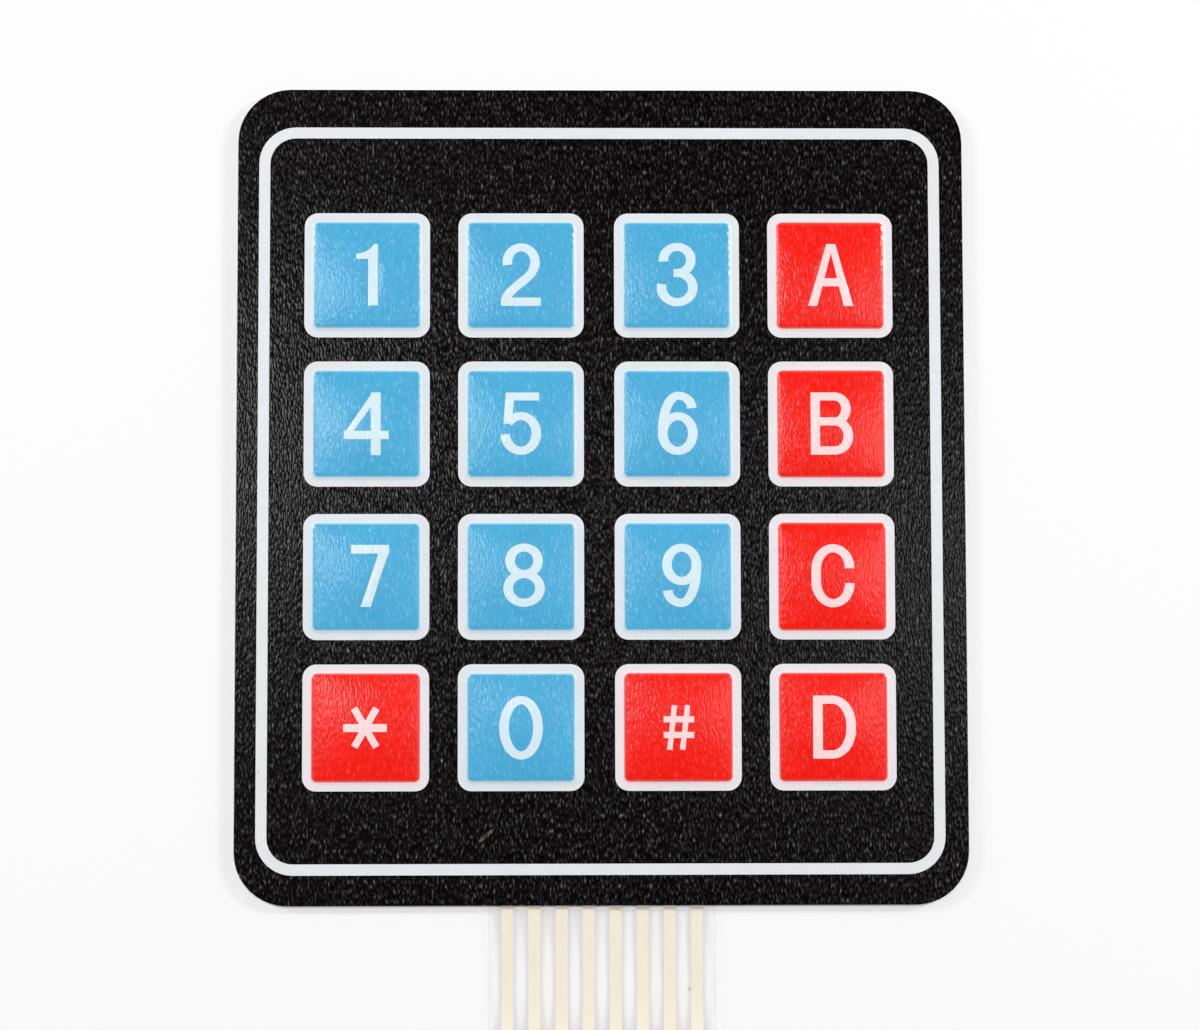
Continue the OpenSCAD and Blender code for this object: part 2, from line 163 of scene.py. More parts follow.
# %% The sixteen signs
SIGNS = {
    "1": [[(0.11, -2.94), (1.03, -2.94), (1.03, 2.94), (0.66, 2.94), (0.47, 2.68), (0.24, 2.43), (0.11, 2.35)],
          [(-1.02, 1.5), (0.11, 1.5), (0.11, 2.35), (-0.15, 2.2), (-0.55, 2.07), (-1.02, 1.98)]],
    "2": [*pen(arc(0.02, 1.19, 1.32, 1.43, 191, -22) + [(0.98, 0.12), (0.55, -0.33), (-0.5, -1.17), (-1.1, -1.76)]),
          [(-1.9, -2.98), (1.88, -2.98), (1.88, -2.19), (-0.83, -2.19), (-0.82, -2.08), (-1.4, -1.44), (-1.76, -1.98),
           (-1.9, -2.42)]],
    "3": [*pen(arc(0.04, 1.42, 1.3, 1.26, 187, -90) + [(-0.31, 0.16)]), *pen(arc(0.03, -1.23, 1.495, 1.39, 90, -194))],
    "4": [[(0.41, -2.99), (1.34, -2.99), (1.34, 2.95), (0.41, 2.95)],
          [(-2.13, -1.48), (2.1, -1.48), (2.1, -0.7), (-2.13, -0.7)],
          [(-2.13, -1.48), (-1.22, -0.7), (0.41, 1.57), (0.9, 2.95), (0.55, 2.95), (-2.13, -0.95)]],
    "5": [[(-1.44, 2.19), (1.72, 2.19), (1.72, 2.95), (-1.44, 2.95)],
          [(-1.65, -0.03), (-0.82, -0.03), (-0.8, 0.6), (-0.62, 2.95), (-1.44, 2.95)],
          *pen(arc(-0.02, -0.945, 1.47, 1.645, 143, -177))],
    "6": [*pen(arc(0.08, 1.39, 1.3, 1.26, 3, 90) + arc(0.08, -0.7, 1.465, 3.35, 90, 180)),
          *pen(arc(0.04, -0.96, 1.425, 1.64, 180, 540))],
    "7": [[(-1.41, 2.18), (2.17, 2.18), (2.17, 3.0), (-1.41, 3.0)],
          [(-0.5, -2.84), (0.465, -2.84), (2.17, 2.4), (2.17, 2.6), (1.3, 2.6)]],
    "8": [*pen(arc(0.285, 1.485, 1.32, 1.255, 0, 360)), *pen(arc(0.285, -1.12, 1.5, 1.35, 0, 360))],
    "9": [*pen(arc(0.33, -1.26, 1.3, 1.25, 183, 270) + arc(0.33, 0.9, 1.415, 3.41, -90, 0)),
          *pen(arc(0.355, 1.135, 1.39, 1.575, 0, 360))],
    "0": [*pen(arc(0, -0.02, 1.595, 2.595, 0, 360))],
    "A": [[(-2.13, -2.96), (-1.25, -2.96), (0.08, 2.1), (0.08, 2.97), (-0.36, 2.97)],
          [(1.27, -2.96), (2.19, -2.96), (0.52, 2.97), (0.08, 2.97), (0.08, 2.1)],
          [(-0.95, -1.1), (1.0, -1.1), (0.8, -0.33), (-0.75, -0.33)]],
    "B": [[(-1.95, -2.96), (-1.08, -2.96), (-1.08, 2.96), (-1.95, 2.96)],
          *pen([(-1.2, 2.575)] + arc(0.35, 1.3825, 1.04, 1.1925, 90, -90) + [(-1.2, 0.19)]),
          *pen([(-1.2, 0.19)] + arc(0.35, -1.1925, 1.26, 1.3825, 90, -90) + [(-1.2, -2.575)])],
    "C": [*pen(arc(0.05, 0.85, 1.56, 1.795, -3, 90) + arc(0.05, 0.6, 1.595, 2.045, 90, 180)
               + arc(0.05, -0.5, 1.595, 2.045, 180, 270) + arc(0.05, -0.75, 1.56, 1.795, 270, 363))],
    "D": [[(-1.93, -2.96), (-1.02, -2.96), (-1.02, 2.95), (-1.93, 2.95)],
          *pen([(-1.2, 2.565)] + arc(-0.1, 0.15, 1.75, 2.415, 90, 0) + arc(-0.1, -0.16, 1.75, 2.415, 0, -90)
               + [(-1.2, -2.575)])],
    "*": [*pen([(-2.08, -0.02), (2.01, -0.02)], level=0.74), *pen([(-1.07, 1.83), (1.03, -1.81)], 0.66, 0.66),
          *pen([(1.03, 1.83), (-1.03, -1.81)], 0.66, 0.66)],
    "#": [*pen([(-1.4, 0.74), (1.47, 0.74)], level=0.57), *pen([(-1.4, -0.73), (1.47, -0.73)], level=0.57),
          *pen([(-0.84, -2.11), (-0.37, 2.07)], 0.5, 0.5), *pen([(0.37, -2.11), (0.86, 2.07)], 0.5, 0.5)],
}
LAYOUT = ["123A", "456B", "789C", "*0#D"]
RED_KEYS = "ABCD*#"
print("signs:", len(SIGNS), "of", sum(len(parts) for parts in SIGNS.values()), "parts")

# %% [markdown]
# ## One sheet, divided by its inks
# Print has no thickness, and faces that lie on each other flicker. So the sheet is divided like a stained-glass
# window: where a legend lies, the key's colour has a hole of exactly that outline. Blender's Delaunay routine takes
# all outlines at once and tells for each small triangle which outlines hold it. The most inward one gives the ink.

# %% Divide a flat area
inks = {name: {"points": [], "from_key": [], "beside": [], "triangles": []}
        for name in ("black", "white", "blue", "red", "sign_on_blue", "sign_on_red")}
FAR_FROM_KEYS = (1000.0, 1000.0)
INSIDE_ONLY, CUT_TOLERANCE = 1, 1e-5


def divide(outlines, rings, loose_points, ink_of, key_at=None, beside=None):
    """Cuts the area of the outlines into triangles and hands each to the ink that ink_of names."""
    points, faces, edges = list(loose_points), [], []
    for outline, closed_face in [(o, True) for o in outlines] + [(r, False) for r in rings]:
        first = len(points)
        points += outline
        if closed_face:
            faces.append(list(range(first, len(points))))
        else:
            edges += [(i, i + 1) for i in range(first, len(points) - 1)] + [(len(points) - 1, first)]
    places, _, triangles, _, _, holders = delaunay_2d_cdt([Vector(p) for p in points], edges, faces, INSIDE_ONLY,
                                                          CUT_TOLERANCE)
    numbers = {}
    for triangle, held_by in zip(triangles, holders):
        ink = ink_of(set(held_by))
        if ink is None:
            continue
        corners = []
        for index in triangle:
            if (ink, index) not in numbers:
                x, y = places[index]
                numbers[ink, index] = len(inks[ink]["points"])
                inks[ink]["points"].append((x, y))
                inks[ink]["from_key"].append((x - key_at[0], y - key_at[1]) if key_at else FAR_FROM_KEYS)
                inks[ink]["beside"].append(beside(x - key_at[0], y - key_at[1]) if beside else 0.0)
            corners.append(numbers[ink, index])
        inks[ink]["triangles"].append(corners)


print("inks to divide by:", ", ".join(inks))

# %% [markdown]
# First comes the ground: the black sheet, with the white line around the block of keys and an open place for each
# key. Outline 0 is the pad, 1 and 2 are the two sides of the line, and the others are the keys.

# %% Black ground and white line
centres = {(r, c): (x, y) for r, y in enumerate(ROWS) for c, x in enumerate(COLUMNS)}
SIDE_STEP = 1.0
LINE_OUTSIDE, LINE_INSIDE = 1, 2


def key_outline(centre, width, radius):
    return rounded_outline(width, width, radius, centre, SIDE_STEP)


pad_outlines = [
    rounded_outline(PAD_W, PAD_H, PAD_R),
    rounded_outline(FRAME_W, FRAME_H, FRAME_R, FRAME_AT),
    rounded_outline(FRAME_W - 2 * FRAME_LINE, FRAME_H - 2 * FRAME_LINE, FRAME_R - FRAME_LINE, FRAME_AT),
    *[key_outline(centre, BORDER_W, BORDER_R) for centre in centres.values()],
]


def ground_ink(held_by):
    """The ink of a part of the ground, and none where a key lies."""
    if max(held_by) > LINE_INSIDE:
        return None
    return "white" if LINE_OUTSIDE in held_by and LINE_INSIDE not in held_by else "black"


divide(pad_outlines, [], [], ground_ink)
print("ground:", {name: len(ink["triangles"]) for name, ink in inks.items() if ink["triangles"]})

# %% [markdown]
# Then come the keys. Around each colour field the sheet climbs, so rings of points are laid where it will bend, and a
# loose grid of points carries the slight dome of the key. The red fields are printed a little larger than the blue
# ones. Near the colour, light is painted in: the white border takes a painted bounce of the colour, and the field's
# own edge a painted pale highlight. The value "beside" carries both: below zero for blue, above zero for red.

# %% Keys with their borders, fields and signs
FOOT_W, FOOT_R = 10.75, 0.82
SLOPE_RUN = 0.6
FIELD_INWARD = {False: 0.325, True: 0.265}
RING_STEPS = [0.0, 0.06, 0.12, 0.18, 0.4, 0.47, 0.53, 0.6]
GRID_FROM, GRID_STEP, GRID_COUNT = -4.2, 0.6, 15
GRID = [GRID_FROM + GRID_STEP * i for i in range(GRID_COUNT)]
# How far the painted light near a colour field reaches, in mm: the painted bounce on the white, and the painted pale
# highlight inside the field's edge.
BOUNCE_REACH, EDGE_HIGHLIGHT_REACH = 0.75, 0.15
FIELD = 1


def key_inks(field_ink, sign_ink):
    """A rule for the inks of a key, whose outlines are 0 for the border, 1 for the field and the rest for the sign."""
    def ink_of(held_by):
        return sign_ink if max(held_by) > FIELD else field_ink if FIELD in held_by else "white"
    return ink_of


def rounded_distance(x, y, width, radius):
    """How far a point lies outside a rounded square."""
    over = [max(abs(v) - (width / 2 - radius), 0.0) for v in (x, y)]
    return math.hypot(*over) - radius


for (r, c), centre in centres.items():
    sign = LAYOUT[r][c]
    is_red = sign in RED_KEYS
    field_w, field_r = FOOT_W - 2 * FIELD_INWARD[is_red], FOOT_R - FIELD_INWARD[is_red]
    outlines = [key_outline(centre, BORDER_W, BORDER_R), key_outline(centre, field_w, field_r)]
    outlines += [[(centre[0] + x, centre[1] + y) for x, y in part] for part in SIGNS[sign]]
    rings = [key_outline(centre, FOOT_W - 2 * s, FOOT_R - s) for s in RING_STEPS]
    grid = [(centre[0] + x, centre[1] + y) for x in GRID for y in GRID]
    ink_of = key_inks("red", "sign_on_red") if is_red else key_inks("blue", "sign_on_blue")

    # Painted light near the field: 1 at the field's edge, falling off outward for the painted bounce on the white
    # border and inward for the painted pale highlight of the field.
    def painted_light_share(x, y, side=1 if is_red else -1, width=field_w, radius=field_r):
        outside = rounded_distance(x, y, width, radius)
        return side * max(0.0, 1 - (outside / BOUNCE_REACH if outside > 0 else -outside / EDGE_HIGHLIGHT_REACH))

    divide(outlines, rings, grid, ink_of, centre, painted_light_share)
print("divided:", {name: len(ink["triangles"]) for name, ink in inks.items()})

# %% [markdown]
# ## Small helpers for node trees
# Every node below is added the same way: its kind, its settings, and what goes into its inputs, which is either a
# plain value or another node's output.

# %% Node helper
def add(tree, kind, inputs=None, **settings):
    """A new node. Inputs are named or numbered, and take values or outputs."""
    node = tree.nodes.new(kind)
    for name, value in settings.items():
        setattr(node, name, value)
    for key, value in (inputs or {}).items():
        if isinstance(value, bpy.types.NodeSocket):
            tree.links.new(value, node.inputs[key])
        else:
            node.inputs[key].default_value = value
    return node


def maths(tree, operation, *values, clamp=False):
    return add(tree, "ShaderNodeMath", dict(enumerate(values)), operation=operation, use_clamp=clamp).outputs[0]


def vector_maths(tree, operation, *values):
    node = add(tree, "ShaderNodeVectorMath", dict(enumerate(values)), operation=operation)
    return node.outputs["Value" if operation == "LENGTH" else "Vector"]


print("node helpers:", ", ".join(helper.__name__ for helper in (add, maths, vector_maths)))

# %% [markdown]
# ## Forming the face
# The real sheet is printed flat and then pressed between two warm dies, which raise all keys at once. The tree below
# does the same to each ink's part of the flat sheet. From a point's place beside its key it finds how far inside the
# key's foot it lies, raises it along a soft S, and adds a slight dome.
#
# Two trees in this lesson take a sheet, a few sizes and a finish, and give the sheet back in another shape. One helper
# starts them both.

# %% Geometry Nodes tree that raises the keys
def sheet_tree(name, sizes):
    """A new tree that takes a sheet, the named sizes and a finish, and the outputs of its input node."""
    tree = bpy.data.node_groups.new(name, "GeometryNodeTree")
    for socket_name, kind in [("Sheet", "Geometry"), *[(size, "Float") for size in sizes], ("Finish", "Material")]:
        tree.interface.new_socket(socket_name, in_out="INPUT", socket_type="NodeSocket" + kind)
    tree.interface.new_socket("Shaped sheet", in_out="OUTPUT", socket_type="NodeSocketGeometry")
    return tree, add(tree, "NodeGroupInput").outputs


RISE, DOME = 0.18, 0.36
FORMING_SIZES = {"Foot width": FOOT_W * MM, "Foot corner": FOOT_R * MM, "Slope run": SLOPE_RUN * MM,
                 "Rise": RISE * MM, "Dome": DOME * MM, "Thickness": SHEET_T * MM}
forming, given = sheet_tree("form the printed sheet", FORMING_SIZES)
from_key = add(forming, "GeometryNodeInputNamedAttribute", {"Name": "from_key"}, data_type="FLOAT_VECTOR").outputs[0]
half_foot = maths(forming, "MULTIPLY", given["Foot width"], 0.5)
core = maths(forming, "SUBTRACT", half_foot, given["Foot corner"])
core_corner = add(forming, "ShaderNodeCombineXYZ", {"X": core, "Y": core}).outputs[0]
past_core = vector_maths(forming, "SUBTRACT", vector_maths(forming, "ABSOLUTE", from_key), core_corner)
beyond_core = vector_maths(forming, "MAXIMUM", past_core, (0.0, 0.0, 0.0))
inside = maths(forming, "SUBTRACT", given["Foot corner"], vector_maths(forming, "LENGTH", beyond_core))
climb = add(forming, "ShaderNodeMapRange", {"Value": inside, "From Min": 0.0, "From Max": given["Slope run"],
                                            "To Min": 0.0, "To Max": given["Rise"]},
            interpolation_type="SMOOTHSTEP").outputs[0]
foot_scale = add(forming, "ShaderNodeCombineXYZ", {"X": half_foot, "Y": half_foot, "Z": 1.0}).outputs[0]
across = add(forming, "ShaderNodeSeparateXYZ", {0: vector_maths(forming, "DIVIDE", from_key, foot_scale)}).outputs
fall_x, fall_y = (maths(forming, "SUBTRACT", 1.0, maths(forming, "MULTIPLY", across[a], across[a]), clamp=True)
                  for a in "XY")
dome = maths(forming, "MULTIPLY", given["Dome"], maths(forming, "MULTIPLY", fall_x, fall_y))
lift = add(forming, "ShaderNodeCombineXYZ", {"Z": maths(forming, "ADD", climb, dome)}).outputs[0]
raised = add(forming, "GeometryNodeSetPosition", {"Geometry": given["Sheet"], "Offset": lift}).outputs[0]
print("raising the keys:", len(forming.nodes), "nodes")

# %% [markdown]
# Then the raised sheet gets its thickness. It is extruded upward, joined with a copy of itself that faces down, and
# welded, so that every part is a closed body. At last it is shaded smooth apart from its folds, and takes its ink. The
# films of the tail end in the same way, so that end is a helper.

# %% Thickness, shading and ink
WELD = 0.0005 * MM
FACE_FOLD = math.radians(40)


def end_tree(tree, sheet, fold, finish):
    """Shades the sheet smooth where it bends less than a fold, gives it its finish, and ends the tree."""
    smooth = add(tree, "GeometryNodeSetShadeSmooth", {"Geometry": sheet, "Shade Smooth": True}, domain="FACE")
    bend = add(tree, "GeometryNodeInputMeshEdgeAngle").outputs["Unsigned Angle"]
    folded = add(tree, "FunctionNodeCompare", {0: bend, 1: fold}, operation="GREATER_THAN").outputs[0]
    crisp = add(tree, "GeometryNodeSetShadeSmooth", {"Geometry": smooth.outputs[0], "Selection": folded,
                                                     "Shade Smooth": False}, domain="EDGE").outputs[0]
    real = add(tree, "GeometryNodeRealizeInstances", {"Geometry": crisp}).outputs[0]
    done = add(tree, "GeometryNodeSetMaterial", {"Geometry": real, "Material": finish}).outputs[0]
    add(tree, "NodeGroupOutput", {"Shaped sheet": done})


thick = add(forming, "ShaderNodeCombineXYZ", {"Z": given["Thickness"]}).outputs[0]
upper = add(forming, "GeometryNodeExtrudeMesh", {"Mesh": raised, "Offset": thick, "Offset Scale": 1.0,
                                                 "Individual": False}).outputs[0]
lower = add(forming, "GeometryNodeFlipFaces", {"Mesh": raised}).outputs[0]
both = add(forming, "GeometryNodeJoinGeometry")
forming.links.new(lower, both.inputs[0])
forming.links.new(upper, both.inputs[0])
body = add(forming, "GeometryNodeMergeByDistance", {"Geometry": both.outputs[0], "Distance": WELD}).outputs[0]
end_tree(forming, body, FACE_FOLD, given["Finish"])
print("forming tree:", len(forming.nodes), "nodes")

# %% [markdown]
# ## The grain of the film
# The face film is rolled with a fine grain: short upright ridges, about a sixth of a millimetre wide, that keep the
# keys from glaring. Seen from above, each ridge is a fleck: most are dim, a few are bright. The ridges could be real
# geometry, but that would take millions of faces, so they are a pattern. All inks lie under the same film, and the
# pattern is therefore one node group that every ink uses.
#
# Stretched noise makes the ridges, and a second, broader noise leans them slightly, so that no two run quite alike.
# The group puts out their height for a bump, and a "Glint" for the painted glints, the flecks of light that the ridges
# throw. It is the exponent of the same noise, because the flecks of the real film are spread that way. A broad
# "Mottle" is for the unevenness of the ink below.

# %% Film grain group
def shader_group(name, inputs, outputs):
    """A new group with the given inputs and their values, and the outputs of its input node."""
    group = bpy.data.node_groups.new(name, "ShaderNodeTree")
    for socket_name, value in inputs.items():
        group.interface.new_socket(socket_name, in_out="INPUT", socket_type="NodeSocketFloat").default_value = value
    for socket_name in outputs:
        group.interface.new_socket(socket_name, in_out="OUTPUT", socket_type="NodeSocketFloat")
    return group, add(group, "NodeGroupInput").outputs


def noise(tree, place, scale, detail):
    return add(tree, "ShaderNodeTexNoise", {"Vector": place, "Scale": scale, "Detail": detail}).outputs["Fac"]


NOISE_MIDDLE = 0.5
LEAN, LEAN_SCALE, MOTTLE_SCALE = 0.1 * MM, 900.0, 420.0
grain, given = shader_group("film grain", {"Ridge width": 0.17 * MM, "Ridge length": 0.47 * MM, "Contrast": 10.0},
                            ["Height", "Glint", "Mottle"])
place = add(grain, "ShaderNodeTexCoord").outputs["Object"]
lean = maths(grain, "SUBTRACT", noise(grain, place, LEAN_SCALE, 1.0), NOISE_MIDDLE)
lean_x = add(grain, "ShaderNodeCombineXYZ", {"X": maths(grain, "MULTIPLY", lean, LEAN)}).outputs[0]
per_width, per_length = (maths(grain, "DIVIDE", 1.0, given[size]) for size in ("Ridge width", "Ridge length"))
ridge_scale = add(grain, "ShaderNodeCombineXYZ", {"X": per_width, "Y": per_length, "Z": per_length}).outputs[0]
stretched = vector_maths(grain, "MULTIPLY", vector_maths(grain, "ADD", place, lean_x), ridge_scale)
ridges = noise(grain, stretched, 1.0, 0.0)
above = maths(grain, "SUBTRACT", ridges, NOISE_MIDDLE)
glint = maths(grain, "EXPONENT", maths(grain, "MULTIPLY", above, given["Contrast"]))
add(grain, "NodeGroupOutput", {"Height": ridges, "Glint": glint, "Mottle": noise(grain, place, MOTTLE_SCALE, 3.0)})
print("film grain:", len(grain.nodes), "nodes")

# %% [markdown]
# ## Small marks of use
# The keypad isn't quite new. A pale scuff slants over the black near the tail, a grey speck sits on the white line,
# and there is a faint smudge on the clear tail. Such a mark has no thickness, so it isn't a piece. This group gives a
# mask instead: one inside a small slanted oval with a frayed rim, and zero outside. A material mixes the mark's colour
# in by that mask.

# %% Small mark group
FRAY, FRAY_SCALE = 0.9, 7000.0
RIM_STARTS, RIM_ENDS = 0.55, 1.15
mark, given = shader_group("small mark", {"Centre X": 0.0, "Centre Y": 0.0, "Slant": 0.0, "Half length": 0.5 * MM,
                                          "Half width": 0.2 * MM}, ["Mask"])
place = add(mark, "ShaderNodeTexCoord").outputs["Object"]
middle = add(mark, "ShaderNodeCombineXYZ", {"X": given["Centre X"], "Y": given["Centre Y"]}).outputs[0]
turned = add(mark, "ShaderNodeVectorRotate", {
    "Vector": vector_maths(mark, "SUBTRACT", place, middle),
    "Angle": maths(mark, "MULTIPLY", given["Slant"], -1.0)}, rotation_type="Z_AXIS").outputs[0]
reach = add(mark, "ShaderNodeCombineXYZ", {"X": given["Half length"], "Y": given["Half width"], "Z": 1.0}).outputs[0]
oval = vector_maths(mark, "LENGTH", vector_maths(mark, "DIVIDE", turned, reach))
rough_rim = maths(mark, "SUBTRACT", noise(mark, place, FRAY_SCALE, 1.0), NOISE_MIDDLE)
frayed = maths(mark, "ADD", oval, maths(mark, "MULTIPLY", rough_rim, FRAY))
mask = add(mark, "ShaderNodeMapRange", {"Value": frayed, "From Min": RIM_STARTS, "From Max": RIM_ENDS, "To Min": 1.0,
                                        "To Max": 0.0}, interpolation_type="SMOOTHSTEP").outputs[0]
add(mark, "NodeGroupOutput", {"Mask": mask})


def small_mark(x, y, slant, half_length, half_width):
    """The inputs of one mark, from millimetres and degrees."""
    return {"Centre X": x * MM, "Centre Y": y * MM, "Slant": math.radians(slant), "Half length": half_length * MM,
            "Half width": half_width * MM}


SCUFF = small_mark(-10.93, -32.19, 39, 1.05, 0.17)
SCUFF_ENDS = [small_mark(-11.3, -32.55, 48, 0.36, 0.16), small_mark(-10.5, -31.83, 44, 0.36, 0.16)]
SPECK = small_mark(-32.23, -26.17, 90, 0.19, 0.09)
SMUDGE = small_mark(8.17, -46.5, 60, 0.24, 0.13)
print("marks:", len([SCUFF, *SCUFF_ENDS, SPECK, SMUDGE]))

# %% [markdown]
# ## The inks under the film
# Each ink is a plain colour, seen through the grained film. Colours are written as a screen shows them, from 0 to 255,
# and turned into the linear values that a shader takes. A Mix node has sockets for several kinds of values, so those
# for colours are asked for by their numbers.

# %% Colours and blends
MIX_FIRST, MIX_SECOND, MIX_RESULT = 6, 7, 2


def ink_colour(red, green, blue):
    def linear(v):
        v /= 255
        return v / 12.92 if v <= 0.04045 else ((v + 0.055) / 1.055) ** 2.4
    return (linear(red), linear(green), linear(blue), 1.0)


def new_material(name):
    made = bpy.data.materials.new(name)
    made.use_nodes = True
    made.node_tree.nodes.clear()
    return made, made.node_tree


def blended(tree, factor, first, second, way="MIX"):
    """One colour mixed with another, or multiplied by it, or added to it."""
    mix = add(tree, "ShaderNodeMix", {"Factor": factor, MIX_FIRST: first, MIX_SECOND: second}, data_type="RGBA",
              blend_type=way)
    return mix.outputs[MIX_RESULT]


def spread(tree, value, usual, low, high):
    """A noise with its usual lowest and highest value, spread from low to high."""
    return add(tree, "ShaderNodeMapRange", {"Value": value, "From Min": usual[0], "From Max": usual[1], "To Min": low,
                                            "To Max": high}).outputs[0]


print("a middle grey in linear values:", round(ink_colour(128, 128, 128)[0], 3))

# %% [markdown]
# The flecks of the grain are painted glints: the light that the ridges throw is added to the ink's colour. The same
# ridges also tilt the surface, so that the lamps to the left and right set off a soft sheen on that side. Near a key's
# colour, light is painted in as well: the white takes a painted bounce of the colour, and the colour's edge a painted
# pale highlight.

# %% Printed film material
MOTTLE_USUAL = (0.3, 0.7)


def printed_film(name, colour, uneven, gloss, painted_light_blue=None, painted_light_red=None, marks=()):
    """An ink under the grained film, with the painted glints of its grain, the painted light that it takes beside
    the key colours, and the marks on it.
    """
    made, tree = new_material(name)
    film = add(tree, "ShaderNodeGroup", {"Contrast": gloss["contrast"]}, node_tree=grain).outputs
    beside = add(tree, "ShaderNodeAttribute", attribute_name="beside").outputs["Fac"]
    # Painted light beside the key colours: a painted bounce on the white, and a painted pale highlight at a field's
    # edge.
    for side, tint in ((-1.0, painted_light_blue), (1.0, painted_light_red)):
        if tint:
            colour = blended(tree, maths(tree, "MULTIPLY", beside, side, clamp=True), colour, tint)
    shade = spread(tree, film["Mottle"], MOTTLE_USUAL, 1 - uneven, 1 + uneven)
    tinted = blended(tree, 1.0, colour, shade, "MULTIPLY")
    # Painted glints: the flecks of light that the grain's ridges throw are added to the colour.
    with_painted_glints = blended(tree, 1.0, tinted, maths(tree, "MULTIPLY", film["Glint"], gloss["painted_glint"]), "ADD")
    for values, mark_colour in marks:
        masked = add(tree, "ShaderNodeGroup", values, node_tree=mark).outputs["Mask"]
        with_painted_glints = blended(tree, masked, with_painted_glints, mark_colour)
    bump = add(tree, "ShaderNodeBump", {"Height": film["Height"], "Strength": 1.0, "Distance": gloss["relief"]})
    shader = add(tree, "ShaderNodeBsdfPrincipled", {"Base Color": with_painted_glints, "Roughness": gloss["roughness"],
                                                    "IOR": gloss["ior"], "Normal": bump.outputs[0]})
    add(tree, "ShaderNodeOutputMaterial", {"Surface": shader.outputs[0]})
    return made


print("pattern behind every ink:", grain.name)

# %% [markdown]
# The flat ground of the film keeps its crisp grain, and the warm die has softened it on the keys. So there are two sets
# of gloss: how much the painted glints of the flecks add, how far they differ, how tall the ridges are, how rough the
# surface is between them, and how strongly it mirrors. The colours of the keys change the second set a little, and the
# white is duller.

# %% The six inks
GROUND_GLOSS = {"painted_glint": 0.0028, "contrast": 11.0, "relief": 0.026 * MM, "roughness": 0.17, "ior": 1.35}
KEY_GLOSS = {"painted_glint": 0.0055, "contrast": 7.5, "relief": 0.03 * MM, "roughness": 0.24, "ior": 1.58}
BLUE_GLOSS, RED_GLOSS = {**KEY_GLOSS, "painted_glint": 0.01}, {**KEY_GLOSS, "painted_glint": 0.004}
WHITE_GLOSS = {**KEY_GLOSS, "roughness": 0.42}
scuff_marks = [(SCUFF, ink_colour(52, 49, 44)), *[(end, ink_colour(92, 89, 81)) for end in SCUFF_ENDS]]
speck_marks = [(SPECK, ink_colour(188, 189, 190))]
# For the white, blue and red, the colours after the ink are painted light beside the key colours: the painted bounce of
# blue or red on the white, and the painted pale highlight at the edge of a blue or red field.
ink_materials = {
    "black": printed_film("black ink under grained film", ink_colour(4, 1, 2), 0.2, GROUND_GLOSS, marks=scuff_marks),
    "white": printed_film("white ink under grained film", ink_colour(229, 231, 234), 0.02, WHITE_GLOSS,
                          ink_colour(213, 229, 235), ink_colour(242, 226, 228), speck_marks),
    "blue": printed_film("blue ink under grained film", ink_colour(71, 174, 218), 0.03, BLUE_GLOSS,
                         ink_colour(146, 208, 235)),
    "red": printed_film("red ink under grained film", ink_colour(251, 21, 3), 0.03, RED_GLOSS,
                        None, ink_colour(253, 122, 114)),
    "sign_on_blue": printed_film("white sign on blue", ink_colour(219, 239, 247), 0.02, KEY_GLOSS),
    "sign_on_red": printed_film("white sign on red", ink_colour(254, 221, 220), 0.02, KEY_GLOSS),
}
print("inks:", ", ".join(ink_materials))

# %% [markdown]
# Now each ink's triangles become a flat mesh at the sheet's underside, the tree forms it, and the result is kept as a
# plain mesh. A modifier knows the inputs of its tree by their identifiers, so a helper looks these up by name.

# %% Shape a piece with a tree
def put_in_scene(name, data):
    made = bpy.data.objects.new(name, data)
    bpy.context.scene.collection.objects.link(made)
    return made


def shape_by(piece, tree, values):
    """Puts a tree on a piece and sets its named inputs."""
    modifier = piece.modifiers.new(tree.name, "NODES")
    modifier.node_group = tree
    for item in tree.interface.items_tree:
        if item.in_out == "INPUT" and item.name in values:
            modifier[item.identifier] = values[item.name]


def plain_copy(shaped, name):
    """The evaluated shape of an object as a plain mesh object, in the object's stead."""
    graph = bpy.context.evaluated_depsgraph_get()
    mesh = bpy.data.meshes.new_from_object(shaped.evaluated_get(graph), preserve_all_data_layers=True, depsgraph=graph)
    mesh.name = name
    bpy.data.objects.remove(shaped)
    return put_in_scene(name, mesh)


print("inputs of the forming tree:", ", ".join(FORMING_SIZES))

# %% [markdown]
# The six formed parts together stand for the face film and its print.

# %% Form the six printed parts
def formed_part(name, ink, material):
    flat = bpy.data.meshes.new(name)
    flat.from_pydata([(x * MM, y * MM, UNDERSIDE * MM) for x, y in ink["points"]], [], ink["triangles"])
    places = flat.attributes.new("from_key", "FLOAT_VECTOR", "POINT")
    places.data.foreach_set("vector", [v for x, y in ink["from_key"] for v in (x * MM, y * MM, 0.0)])
    flat.attributes.new("beside", "FLOAT", "POINT").data.foreach_set("value", ink["beside"])
    piece = put_in_scene(name, flat)
    shape_by(piece, forming, {**FORMING_SIZES, "Finish": material})
    return plain_copy(piece, name)


STANDS_FOR = {"black": ("black_face", "black_film", ["graphic_overlay"]),
              "white": ("white_lines", "white_ink", ["white_print"]),
              "blue": ("blue_fields", "blue_ink", ["blue_print"]),
              "red": ("red_fields", "red_ink", ["red_print"]),
              "sign_on_blue": ("signs_on_blue", "white_ink", []),
              "sign_on_red": ("signs_on_red", "white_ink", [])}
for ink_name, (piece_name, slot_name, nodes) in STANDS_FOR.items():
    piece = formed_part(piece_name, inks[ink_name], ink_materials[ink_name])
    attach(piece, "root")
    if nodes:
        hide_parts(*nodes)
    top = max(corner.co.z for corner in piece.data.vertices)
    print(piece_name, len(piece.data.polygons), "faces, top at", round(top / MM, 3), "mm")

